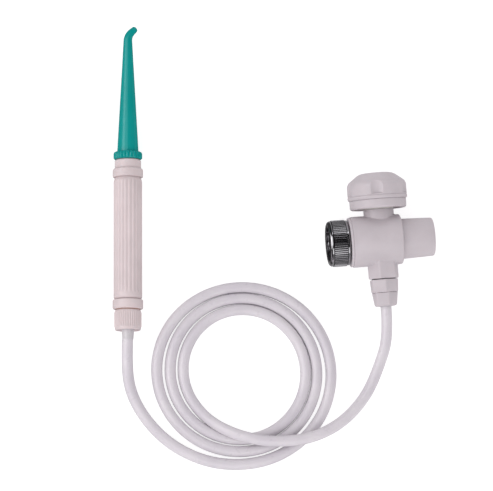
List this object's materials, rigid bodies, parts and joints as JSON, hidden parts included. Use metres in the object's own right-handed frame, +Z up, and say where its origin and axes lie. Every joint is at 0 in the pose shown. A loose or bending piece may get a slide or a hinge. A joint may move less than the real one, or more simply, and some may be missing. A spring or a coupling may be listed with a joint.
{
  "type": "oral irrigator",
  "caption": "Tap-fed oral irrigator: bent teal jet tip on a fluted white handpiece, coiled hose, and a diverter valve with a knob, a spout and a chrome swivel nut.",
  "frame": {"origin": "on the table, under the middle of the handpiece and valve together", "axes": "+Z up; +Y along the handpiece towards its jet; +X from the handpiece to the valve"},
  "size_m": [0.1896, 0.2634, 0.0356],
  "materials": {
    "handle_plastic": "glossy",
    "valve_plastic": "satin",
    "inner_plastic": "satin",
    "teal_plastic": "glossy",
    "hose_vinyl": "satin",
    "tube_vinyl": "satin",
    "chrome": "polished",
    "screen_steel": "satin",
    "black_rubber": "matte",
    "brown_rubber": "matte"
  },
  "bodies": {
    "base": {"hose_nut": "handle_plastic", "rear_gasket": "brown_rubber", "rear_ring": "handle_plastic", "rear_fitting": "inner_plastic", "grip_barrel": "handle_plastic", "water_tube": "tube_vinyl", "tube_o_rings": "black_rubber", "front_ring": "handle_plastic", "nose": "handle_plastic", "hose_sleeve": "hose_vinyl", "valve_body": "valve_plastic", "lip_ring": "valve_plastic", "inlet_bush": "inner_plastic", "faucet_washer": "black_rubber", "inlet_screen": "screen_steel", "inlet_seat": "black_rubber", "spout_seat": "black_rubber", "bonnet": "inner_plastic", "stem_o_ring": "black_rubber", "spout": "valve_plastic", "spout_o_ring": "black_rubber", "spout_insert": "inner_plastic", "outlet_seal": "black_rubber", "outlet_adapter": "valve_plastic", "clamp_nut": "valve_plastic", "hose_lead_handle": "hose_vinyl", "hose_coil": "hose_vinyl", "hose_lead_valve": "hose_vinyl"},
    "tip_plug": {"tip_stem": "inner_plastic", "tip_o_ring": "black_rubber"},
    "tip": {"jet_tip": "teal_plastic", "tip_collar": "teal_plastic"},
    "knob": {"knob_cap": "valve_plastic", "knob_skirt": "valve_plastic", "knob_screw": "screen_steel", "diverter_rotor": "inner_plastic", "rotor_o_ring": "black_rubber"},
    "tap_nut": {"faucet_nut": "chrome"}
  },
  "joints": [
    {"name": "tip_pull", "type": "slide", "parent": "base", "child": "tip_plug", "axis": [0, 1, 0], "range_m": [0, 0.012]},
    {"name": "tip_turn", "type": "hinge", "parent": "tip_plug", "child": "tip", "pos_m": [-0.08535, 0.01195, 0.00895], "axis": [0, 1, 0], "continuous": true},
    {"name": "knob_turn", "type": "hinge", "parent": "base", "child": "knob", "pos_m": [0.06169, -0.01667, 0.01715], "axis": [-0.0815, 0.9919, 0.0975], "range_deg": [0, 90]},
    {"name": "nut_spin", "type": "hinge", "parent": "base", "child": "tap_nut", "pos_m": [0.03799, -0.03959, 0.0151], "axis": [0.9966, 0.0819, 0], "continuous": true}
  ]
}
